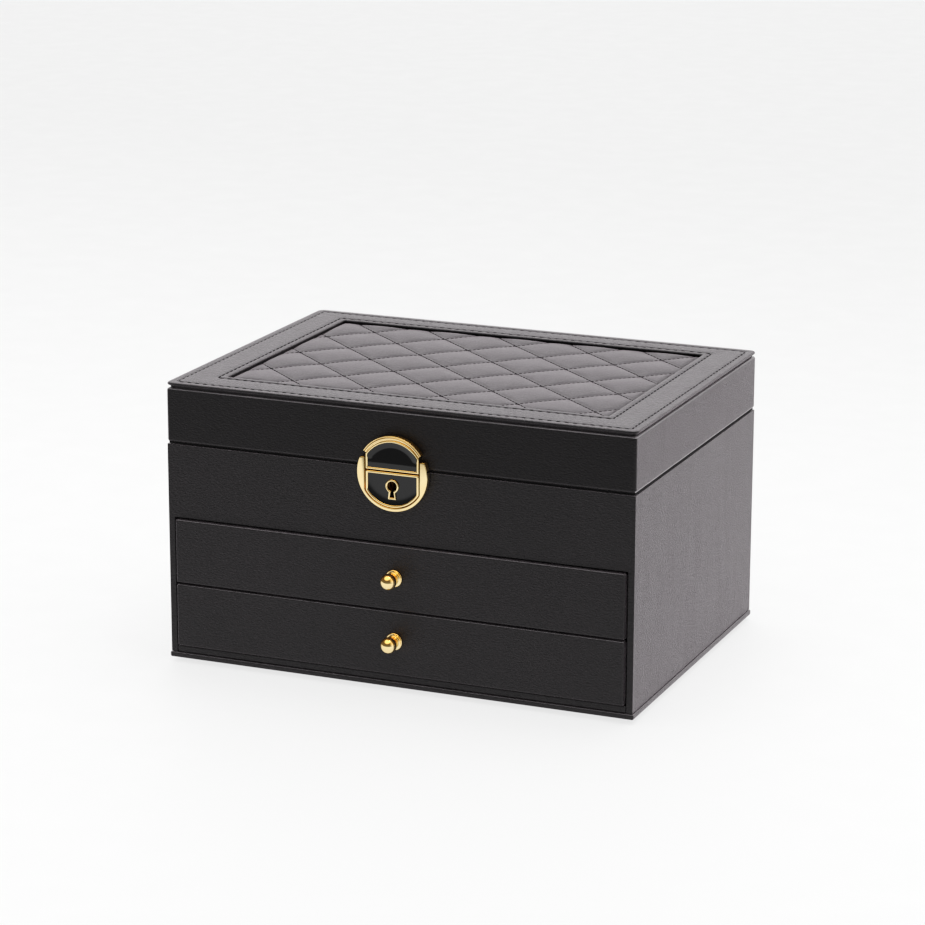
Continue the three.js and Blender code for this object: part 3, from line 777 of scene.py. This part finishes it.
def add_quilted_pad():
    low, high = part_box("quilted_pad")
    frame_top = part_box("lid_panel_frame")[1].z
    seam_level = frame_top - SEAM_DROP
    height = SEAM_DROP - PUFF_TOP
    count = 2 * QUILT_REACH * QUILT_STEPS
    bm = bmesh.new()
    grid = []
    for i in range(count + 1):
        s = i / QUILT_STEPS - QUILT_REACH
        row = []
        for j in range(count + 1):
            t = j / QUILT_STEPS - QUILT_REACH
            place = quilt_point(s, t)
            row.append(bm.verts.new((place.x, place.y, seam_level + height * puff(s, t))))
        grid.append(row)
    margin = 3 * MM
    for i in range(count):
        for j in range(count):
            ring = (grid[i][j], grid[i + 1][j], grid[i + 1][j + 1], grid[i][j + 1])
            inside = any(
                low.x - margin < v.co.x < high.x + margin
                and low.y - margin < v.co.y < high.y + margin
                for v in ring
            )
            if inside:
                bm.faces.new(ring)
    loose = [v for v in bm.verts if not v.link_faces]
    bmesh.ops.delete(bm, geom=loose, context="VERTS")
    sides = (
        (Vector((low.x, 0, 0)), Vector((-1, 0, 0))), (Vector((high.x, 0, 0)), Vector((1, 0, 0))),
        (Vector((0, low.y, 0)), Vector((0, -1, 0))), (Vector((0, high.y, 0)), Vector((0, 1, 0))),
    )
    for place, direction in sides:
        geometry = bm.verts[:] + bm.edges[:] + bm.faces[:]
        bmesh.ops.bisect_plane(
            bm, geom=geometry, plane_co=place, plane_no=direction, clear_outer=True,
        )
    for v in bm.verts:
        gap = min(v.co.x - low.x, high.x - v.co.x, v.co.y - low.y, high.y - v.co.y)
        calm = max(0.0, 1 - gap / EDGE_DRAW) ** 2
        v.co.z += (frame_top - EDGE_DROP - v.co.z) * calm
        v.co.z -= EDGE_SINK * max(0.0, 1 - gap / EDGE_TURN) ** 2
    rim = [e for e in bm.edges if e.is_boundary]
    skirt = bmesh.ops.extrude_edge_only(bm, edges=rim)
    bottom = [g for g in skirt["geom"] if isinstance(g, bmesh.types.BMVert)]
    for v in bottom:
        v.co.z = low.z
    rim = [e for e in bm.edges if e.is_boundary]
    bmesh.ops.holes_fill(bm, edges=rim, sides=0)
    piece = finish_mesh(
        "quilted_cushion", "lid", PAD_LEATHER, bm, ("quilted_pad",), angle=75,
    )


def clipped(start, end, low, high):
    """The stretch of a line inside a rectangle, or None."""
    first, last = 0.0, 1.0
    along = end - start
    for axis in (0, 1):
        if abs(along[axis]) < 1e-12:
            continue
        a = (low[axis] - start[axis]) / along[axis]
        b = (high[axis] - start[axis]) / along[axis]
        first = max(first, min(a, b))
        last = min(last, max(a, b))
    if last - first < 1e-3:
        return None
    return start + along * first, start + along * last


# Stitch pitch, share of it that shows, and thread radius, for the two directions of seam.
TIGHT_SEAM = (2.9 * MM, 0.88, 0.17 * MM)
SUNK_SEAM = (2.4 * MM, 0.8, 0.13 * MM)


def add_quilt_stitches():
    low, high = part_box("quilted_pad")
    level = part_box("lid_panel_frame")[1].z - SEAM_DROP + 0.12 * MM
    bm = bmesh.new()
    far = QUILT_REACH
    for line in range(-far, far + 1):
        tight = (quilt_point(-far, line), quilt_point(far, line), *TIGHT_SEAM)
        sunk = (quilt_point(line, -far), quilt_point(line, far), *SUNK_SEAM)
        for start, end, pitch, share, radius in (tight, sunk):
            part = clipped(start, end, low, high)
            if part is None:
                continue
            a = Vector((*part[0], level))
            b = Vector((*part[1], level))
            stitch_row(bm, a, b, pitch, share, radius, 0.2 * MM)
    finish_mesh("quilt_stitches", "lid", THREAD, bm, angle=60)


# ---- drawers

KNOB_DISC = 4.15 * MM
KNOB_NECK = 2.7 * MM
KNOB_BALL = 3.85 * MM
DISC_RIM, DISC_ROUND, NECK_FLARE = 0.5 * MM, 0.9 * MM, 0.9 * MM


def quarter(steps):
    """Sines and cosines of the steps from 0 to 90 degrees, without the first."""
    for step in range(1, steps + 1):
        angle = math.pi / 2 * step / steps
        yield math.sin(angle), math.cos(angle)


def knob_profile(length):
    """(radius, distance forward) from the middle of the knob's back to its tip."""
    ball_centre = length - KNOB_BALL
    bevel = 0.1 * MM
    points = [(0, 0), (KNOB_DISC - bevel, 0), (KNOB_DISC, bevel), (KNOB_DISC, DISC_RIM)]
    for sine, cosine in quarter(6):
        radius = KNOB_DISC - DISC_ROUND + DISC_ROUND * cosine
        points.append((radius, DISC_RIM + DISC_RIM * sine))
    foot = KNOB_NECK + NECK_FLARE
    base = 2 * DISC_RIM + bevel
    points.append((foot + 2 * bevel, base))
    for sine, cosine in quarter(6):
        points.append((foot - NECK_FLARE * sine, base + NECK_FLARE - NECK_FLARE * cosine))
    start = math.asin(KNOB_NECK / KNOB_BALL)
    for step in range(25):
        angle = math.pi - start - (math.pi - start) * step / 24
        points.append((KNOB_BALL * math.sin(angle), ball_centre + KNOB_BALL * math.cos(angle)))
    return points


def add_drawer(name):
    add_board(f"{name}_front", name, 0.8 * MM, 4, 0.5 * MM, 0.45 * MM)
    low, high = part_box(f"{name}_knob")
    place = Vector(((low.x + high.x) / 2, high.y, (low.z + high.z) / 2))
    bm = turned(knob_profile(high.y - low.y), 48, place)
    finish_mesh(f"{name}_ball_knob", name, GOLD, bm, (f"{name}_knob",), angle=50)


# ---- lock face

# Radii and half widths on the lock's face, in the lock's own plane.
BEZEL_RADIUS, BEZEL_INNER, CHANNEL_HALF = 17.6 * MM, 16.1 * MM, 13.8 * MM
SHIELD_HALF, SHIELD_RADIUS, SHIELD_RIM = 13.3 * MM, 15.8 * MM, 1.1 * MM
CATCH_HALF, CATCH_RADIUS, CATCH_RIM = 13.25 * MM, 15.8 * MM, 0.9 * MM
RIBS = ((15.5 * MM, 16.5 * MM), (16.55 * MM, 17.1 * MM))
RIB_CUT = math.radians(32.3)
KEYHOLE_HEAD, KEYHOLE_NECK, KEYHOLE_FOOT = 2.4 * MM, 0.75 * MM, 1.2 * MM
KEYHOLE_RIM = 0.85 * MM
DISH = 1.15 * MM
# The enamel's clearance inside its gold rim.
ENAMEL_ROOM = 0.03 * MM
# A rounded rim's section: (share of its width, drop below its crest as a share of the half width).
ROUND_RIM = ((0.0, 0.55), (0.08, 0.25), (0.25, 0.07), (0.5, 0.0))

# Levels on the shield, and on the catch, measured back from the face of each.
SHIELD_POCKET, SHIELD_FIELD, SHIELD_RISE = 1.0 * MM, 0.62 * MM, 0.42 * MM
CATCH_BASE, CATCH_FIELD, CATCH_OVERLAP = 0.75 * MM, 0.27 * MM, 0.2 * MM
# The height of the catch's enamel middle above its lower edge.
CATCH_MIDDLE = 5.5 * MM

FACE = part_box("front_fascia")[0].y


def standing(points, level):
    """Outline points (x, z) set at a distance in front of the case's face."""
    return [(x, FACE - level, z) for x, z in points]


def lobe(half, flat, radius, centre, up, inset=0.0):
    """An outline of one flat edge, two straight sides and an arc, moved in by the inset."""
    half, radius = half - inset, radius - inset
    flat = flat + inset if up else flat - inset
    sign = 1 if up else -1
    side = math.sqrt(radius ** 2 - half ** 2)
    start = math.asin(side / radius)
    corner = centre + sign * side
    points = []
    for i in range(32):
        points.append((-half + 2 * half * i / 32, flat))
    for i in range(10):
        points.append((half, flat + (corner - flat) * i / 10))
    for i in range(48):
        angle = start + (math.pi - 2 * start) * i / 48
        points.append((radius * math.cos(angle), centre + sign * radius * math.sin(angle)))
    for i in range(10):
        points.append((-half, corner + (flat - corner) * i / 10))
    return points


def keyhole_outline(centre, foot, spread_out):
    """The keyhole, or its rim's outer edge when spread out."""
    radius = KEYHOLE_HEAD + spread_out
    neck, wide = KEYHOLE_NECK + spread_out, KEYHOLE_FOOT + spread_out
    start = math.asin(neck / radius)
    points = []
    for i in range(41):
        angle = -math.pi / 2 + start + (2 * math.pi - 2 * start) * i / 40
        points.append((radius * math.cos(angle), centre + radius * math.sin(angle)))
    top = centre - radius * math.cos(start)
    bottom = foot - spread_out
    for i in range(1, 9):
        points.append((-neck - (wide - neck) * i / 8, top + (bottom - top) * i / 8))
    for i in range(1, 9):
        points.append((-wide + 2 * wide * i / 8, bottom))
    for i in range(1, 8):
        points.append((wide - (wide - neck) * i / 8, bottom + (top - bottom) * i / 8))
    return points


def cast(middle, target, outline):
    """Where the ray from the middle towards the target crosses the outline."""
    dx, dz = target[0] - middle[0], target[1] - middle[1]
    best = 0.0
    for i, (ax, az) in enumerate(outline):
        bx, bz = outline[(i + 1) % len(outline)]
        ex, ez = bx - ax, bz - az
        cross = dx * ez - dz * ex
        if abs(cross) < 1e-15:
            continue
        along = ((ax - middle[0]) * ez - (az - middle[1]) * ex) / cross
        share = ((ax - middle[0]) * dz - (az - middle[1]) * dx) / cross
        if along > 0 and -1e-6 <= share <= 1 + 1e-6:
            best = max(best, along)
    return middle[0] + dx * best, middle[1] + dz * best


def blended(first, second, share):
    pairs = zip(first, second)
    return [(a[0] + (b[0] - a[0]) * share, a[1] + (b[1] - a[1]) * share) for a, b in pairs]


def rim_profile(width, back, face):
    """(distance in, level) over a rounded rim, from its outer foot to its inner foot."""
    half = width / 2
    rise = [(share * half * 2, face - drop * half) for share, drop in ROUND_RIM]
    fall = [(width - inset, level) for inset, level in reversed(rise[:-1])]
    return [(0.0, back), *rise, *fall]


def lock_centre():
    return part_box("lock_bezel")[0].z + BEZEL_RADIUS


def face_levels(name):
    """How far the back and the face of a lock part stand in front of the case."""
    low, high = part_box(name)
    return FACE - high.y, FACE - low.y


def bezel_outline(inset):
    centre = lock_centre()
    outer, inner = BEZEL_RADIUS - inset, BEZEL_INNER + inset
    channel = CHANNEL_HALF + inset
    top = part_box("lock_bezel")[1].z - inset - centre
    start = math.asin(top / outer)
    foot = math.acos(channel / inner)
    points = []
    for i in range(97):
        angle = start - (math.pi + 2 * start) * i / 96
        points.append((outer * math.cos(angle), centre + outer * math.sin(angle)))
    points.append((-channel, centre + top))
    for i in range(49):
        angle = math.pi + foot + (math.pi - 2 * foot) * i / 48
        points.append((inner * math.cos(angle), centre + inner * math.sin(angle)))
    points.append((channel, centre + top))
    return points


def add_bezel():
    """The ring round the lock's lower half, with its two tall cheeks."""
    face = face_levels("lock_bezel")[1]
    back = 0.5 * MM
    soft = 0.35 * MM
    loops = [standing(bezel_outline(0.0), back)]
    for share, drop in ROUND_RIM:
        loops.append(standing(bezel_outline(2 * soft * share), face - soft * drop))
    bm = loft(loops, cap_start=True, cap_end=True)
    finish_mesh("lock_ring", "case", GOLD, bm, ("lock_bezel",), angle=40)


def keyhole_parts():
    """The keyhole's head centre and foot, from the escutcheon round it."""
    low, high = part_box("keyhole_escutcheon")
    return high.z - KEYHOLE_RIM - KEYHOLE_HEAD, low.z + KEYHOLE_RIM


def shield_outline(inset):
    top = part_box("lock_shield")[1].z
    return lobe(SHIELD_HALF, top, SHIELD_RADIUS, lock_centre(), False, inset)


def add_shield():
    """The gold shield: a rounded rim, a pocket for the enamel and the keyhole through both."""
    back, face = face_levels("lock_shield")
    centre, foot = keyhole_parts()
    middle = (0.0, centre - 1.0 * MM)
    hole = keyhole_outline(centre, foot, 0.0)
    profile = rim_profile(SHIELD_RIM, back, face)
    loops = [standing(shield_outline(inset), level) for inset, level in profile]
    pocket = shield_outline(SHIELD_RIM)
    floor = face - SHIELD_POCKET
    loops.append(standing(pocket, floor))
    opening = [cast(middle, point, hole) for point in pocket]
    loops.append(standing(opening, floor))
    loops.append(standing(opening, back))
    bm = loft(loops, closed=True)
    finish_mesh("shield_plate", "case", GOLD, bm, ("lock_shield",), angle=40)

    outer = shield_outline(SHIELD_RIM + ENAMEL_ROOM)
    wide = keyhole_outline(centre, foot, 0.4 * MM)
    inner = [cast(middle, point, wide) for point in outer]
    arc_centre = lock_centre()
    loops = [standing(outer, floor + ENAMEL_ROOM)]
    for step in range(15):
        share = step / 14
        points = blended(outer, inner, share)
        loop = []
        for x, z in points:
            reach = math.hypot(x, z - arc_centre) / (SHIELD_RADIUS - SHIELD_RIM)
            rise = SHIELD_RISE * min(reach, 1.0) ** 7 if z < arc_centre else 0.0
            loop += standing([(x, z)], face - SHIELD_FIELD + rise)
        loops.append(loop)
    loops.append(standing(inner, floor + ENAMEL_ROOM))
    bm = loft(loops, closed=True)
    finish_mesh("shield_enamel", "case", ENAMEL, bm, ("lock_inlay",), angle=50)


def add_escutcheon():
    back, face = face_levels("keyhole_escutcheon")
    centre, foot = keyhole_parts()
    loops = []
    for inset, level in rim_profile(KEYHOLE_RIM, back, face):
        loops.append(standing(keyhole_outline(centre, foot, KEYHOLE_RIM - inset), level))
    bm = loft(loops, closed=True)
    finish_mesh(
        "keyhole_rim", "case", GOLD, bm, ("keyhole_escutcheon",), angle=40,
    )


def arc_bar(bm, inner, outer, centre, back, face):
    """A rounded bar that follows an arc over the catch, cut square at both ends."""
    width = outer - inner
    section = rim_profile(width, back, face)
    loops = []
    for i in range(65):
        angle = RIB_CUT + (math.pi - 2 * RIB_CUT) * i / 64
        loop = []
        for inset, level in section:
            radius = outer - inset
            point = (radius * math.cos(angle), centre + radius * math.sin(angle))
            loop += standing([point], level)
        loops.append(loop)
    loft(loops, cap_start=True, cap_end=True, bm=bm)


def add_catch():
    """The lid's half of the lock: three ribs over a black enamel field."""
    back, face = face_levels("catch_plate")
    low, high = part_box("catch_plate")
    rib_centre = high.z - RIBS[1][1]
    arc_centre = lock_centre() + 0.2 * MM
    base = face - CATCH_BASE
    bm = bmesh.new()
    for inner, outer in RIBS:
        arc_bar(bm, inner, outer, rib_centre, back, face)
    reach = RIBS[1][1] - 0.15 * MM
    shoulder = rib_centre + reach * math.sin(RIB_CUT)
    outline = [(-CATCH_HALF, shoulder), (-CATCH_HALF, low.z), (CATCH_HALF, low.z)]
    outline.append((CATCH_HALF, shoulder))
    for i in range(49):
        angle = RIB_CUT + (math.pi - 2 * RIB_CUT) * i / 48
        outline.append((reach * math.cos(angle), rib_centre + reach * math.sin(angle)))
    inside = lobe(CATCH_HALF, low.z, CATCH_RADIUS, arc_centre, True, CATCH_RIM)
    middle = (0.0, low.z + CATCH_MIDDLE)
    around = [cast(middle, point, outline) for point in inside]
    levels = [standing(inside, back), standing(around, back), standing(around, base)]
    loft([*levels, standing(inside, base)], closed=True, bm=bm)
    loops = []
    for inset, level in rim_profile(CATCH_RIM, base - CATCH_OVERLAP, face):
        outline = lobe(CATCH_HALF, low.z, CATCH_RADIUS, arc_centre, True, inset)
        loops.append(standing(outline, level))
    loft(loops, closed=True, bm=bm)
    finish_mesh("catch_face", "lid", GOLD, bm, ("catch_plate",), angle=40)

    inset = CATCH_RIM + ENAMEL_ROOM
    outer = lobe(CATCH_HALF, low.z, CATCH_RADIUS, arc_centre, True, inset)
    height = high.z - low.z
    radius = CATCH_RADIUS - CATCH_RIM
    loops = [standing(outer, back + 0.1 * MM)]
    for step in range(24):
        share = step / 24
        loop = []
        for x, z in blended(outer, [middle] * len(outer), share):
            fall = DISH * min(max(((z - low.z) / height - 0.21) / 0.58, 0.0), 1.0)
            reach = min(math.hypot(x, z - arc_centre) / radius, 1.0)
            rise = 0.8 * DISH * max(0.0, (reach - 0.81) / 0.19) ** 1.4 if z > middle[1] else 0.0
            loop += standing([(x, z)], face - CATCH_FIELD - fall + rise)
        loops.append(loop)
    bm = loft(loops, cap_start=True, cap_end=True)
    finish_mesh("catch_enamel", "lid", ENAMEL, bm, ("catch_inlay",), angle=50)


# ---- inside and back

ROLL_COUNT = 6
ROLL_BED = 2 * MM
ROLL_HALF = 10.1 * MM
ROLL_RIPPLE = 0.12 * MM
ROLL_STEPS, ROLL_SIDES = 40, 40


def add_ring_rolls():
    """Six plump rolls side by side on a thin bed, with slits between them for rings."""
    low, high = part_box("ring_rolls")
    bm = cell_mesh(
        [low.x, high.x], [low.y, high.y], [low.z, low.z + ROLL_BED], lambda i, j, k: True,
    )
    pitch = (high.x - low.x) / ROLL_COUNT
    bottom = low.z + 0.6 * ROLL_BED
    height = high.z - bottom
    for roll in range(ROLL_COUNT):
        middle = low.x + pitch * (roll + 0.5)
        loops = []
        for step in range(ROLL_STEPS + 1):
            share = step / ROLL_STEPS
            end = abs(2 * share - 1)
            plump = (1 - end ** 7) ** 0.34 if end < 1 else 0.0
            plump = 0.30 + 0.70 * plump
            y = low.y + (high.y - low.y) * share
            ripple = math.sin(31 * share + 2.1 * roll) * math.sin(17 * share + roll)
            ripple *= ROLL_RIPPLE
            loop = []
            for i in range(ROLL_SIDES):
                angle = 2 * math.pi * i / ROLL_SIDES
                across = math.copysign(abs(math.cos(angle)) ** 0.75, math.cos(angle))
                up = math.sin(angle)
                lift = 0.5 + 0.5 * math.copysign(abs(up) ** 0.85, up)
                x = middle + (ROLL_HALF * across + ripple * up) * plump
                z = bottom + (height * lift + min(ripple, 0.0)) * (0.25 + 0.75 * plump)
                loop.append((x, y, z))
            loops.append(loop)
        loft(loops, cap_start=True, cap_end=True, bm=bm)
    piece = finish_mesh(
        "ring_roll_cushion", "case", ROLL_VELVET, bm, ("ring_rolls",), angle=75,
    )


# (radius, rise) in millimetres, from the foot of a screw's head to its dimple.
SCREW_HEAD = (
    (2.1, 0.0), (2.1, 0.15), (1.7, 0.45), (1.0, 0.62), (0.75, 0.62), (0.3, 0.25), (0, 0.2),
)
SCREW_SPREAD = 10.5 * MM
SCREW_INSET, SCREW_STAGGER = 4.4 * MM, 3.2 * MM
LEAF_THICKNESS = 1.3 * MM


def add_hinge_screws(name, body, upward):
    """Three dimpled screw heads on the outer face of a hinge leaf."""
    low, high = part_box(name)
    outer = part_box("rear_panel")[1].y + LEAF_THICKNESS
    edge = high.z - SCREW_INSET if upward else low.z + SCREW_INSET
    nearer = edge - SCREW_STAGGER if upward else edge + SCREW_STAGGER
    middle = (low.x + high.x) / 2
    bm = bmesh.new()
    for x, z in ((middle - SCREW_SPREAD, edge), (middle, nearer), (middle + SCREW_SPREAD, edge)):
        loops = []
        for radius, rise in SCREW_HEAD:
            reach = max(radius, 0.02) * MM
            loop = []
            for i in range(20):
                angle = 2 * math.pi * i / 20
                y = outer + rise * MM
                loop.append((x + reach * math.cos(angle), y, z + reach * math.sin(angle)))
            loops.append(loop)
        loft(loops, cap_start=True, cap_end=True, bm=bm)
    finish_mesh(f"{name}_screws", body, BRASS, bm, angle=40)


# ---- stage and light

def add_stage():
    floor = bpy.data.meshes.new("floor")
    size = 6.0
    corners = [(-size, -size, 0), (size, -size, 0), (size, size, 0), (-size, size, 0)]
    floor.from_pydata(corners, [], [(0, 1, 2, 3)])
    floor.materials.append(floor_material())
    plane = bpy.data.objects.new("floor", floor)
    bpy.context.scene.collection.objects.link(plane)


# Where the middle of the big overhead softbox lies, as seen from the case.
OVERHEAD = (-0.10, -0.30, 0.95)
# Where the middle of the bright wall of paper lies.
BEHIND = (0.45, 0.89, 0.0)
# Strengths of the dim side and the bright wall, and the softbox's soft edge and strength.
DIM, BRIGHT = 0.19, 1.2
SOFTBOX_EDGE, SOFTBOX = (0.74, 0.90), 1.5


def add_world():
    """A pale studio: bright behind and overhead, dim on the side of the photographer."""
    world = bpy.data.worlds.new("studio")
    bpy.context.scene.world = world
    world.use_nodes = True
    tree = world.node_tree
    source = node(tree, "ShaderNodeTexCoord")
    view = source.outputs["Generated"]
    behind = ramp(tree, reach_along(tree, view, BEHIND), -0.35, 0.35, DIM, BRIGHT)
    softbox = reach_along(tree, view, Vector(OVERHEAD).normalized())
    overhead = ramp(tree, softbox, *SOFTBOX_EDGE, 0.0, SOFTBOX)
    total = combine(tree, "ADD", behind, overhead)
    tree.links.new(total, tree.nodes["Background"].inputs["Color"])


# Scene-linear values and what they are graded to: deeper blacks, as in a contrasty print.
GRADE = ((0.0, 0.0), (0.02, 0.010), (0.06, 0.035), (0.12, 0.095), (0.25, 0.25), (1.0, 1.0))


def add_grade():
    view = bpy.context.scene.view_settings
    view.view_transform = "Standard"
    view.use_curve_mapping = True
    curve = view.curve_mapping.curves[3]
    for place, value in GRADE[1:-1]:
        curve.points.new(place, value)
    view.curve_mapping.update()


def add_area(name, place, aim, size, power, colour=(1, 1, 1)):
    data = bpy.data.lights.new(name, "AREA")
    data.shape = "RECTANGLE"
    data.size, data.size_y = size
    data.energy = power
    data.color = colour
    light = bpy.data.objects.new(name, data)
    bpy.context.scene.collection.objects.link(light)
    direction = (Vector(aim) - Vector(place)).to_track_quat("-Z", "Y")
    light.matrix_world = Matrix.Translation(place) @ direction.to_matrix().to_4x4()


def add_lights():
    add_area("top_light", (0.15, 0.25, 1.5), (0, 0, 0.05), (0.9, 0.7), 5.5)


# ---- carried-over parts

# How far the edges of carried-over parts are rounded, by finish.
SOFTENING = {
    "velvet": 0.5, "leather": 0.5, "roll_fabric": 0.5, "gold": 0.15, "enamel": 0.1,
    "steel": 0.15, "brass": 0.25, "mirror_glass": 0.8, "foot_felt": 0.5,
}
TARNISHED = ("lock_rotor", "lock_case")


def add_carried_parts():
    """CAD parts whose shape is right keep it, with softened edges and a real finish."""
    finishes = {
        "velvet": VELVET, "roll_fabric": ROLL_VELVET, "gold": GOLD, "enamel": ENAMEL,
        "steel": STEEL, "brass": BRASS, "mirror_glass": MIRROR, "foot_felt": FELT,
        "leather": LEATHER,
    }
    slots = {part["node"]: part["material_slot"] for part in frame["record"]["subparts"]}
    for name, piece in frame["nodes"].items():
        finish = TARNISH if name in TARNISHED else finishes[slots[name]]
        for index in range(len(piece.material_slots)):
            piece.material_slots[index].material = finish
        rounder = piece.modifiers.new("rounding", "BEVEL")
        rounder.width = SOFTENING[slots[name]] * MM
        rounder.segments = 2
        rounder.limit_method = "ANGLE"
        rounder.angle_limit = math.radians(40)


add_camera()
add_case_wrap()
add_lid_wrap()
add_board("base_board", "case", 0.7 * MM)
add_board("bottom_rail", "case", 0.6 * MM, 3)
add_lid_frame()
add_frame_stitches()
add_quilted_pad()
add_quilt_stitches()
add_bezel()
add_shield()
add_escutcheon()
add_catch()
add_drawer("drawer_upper")
add_drawer("drawer_lower")
add_ring_rolls()
for hand in ("left", "right"):
    add_hinge_screws(f"hinge_leaf_body_{hand}", "case", False)
    add_hinge_screws(f"hinge_leaf_lid_{hand}", "lid", True)
add_carried_parts()
add_stage()
add_world()
add_lights()
add_grade()
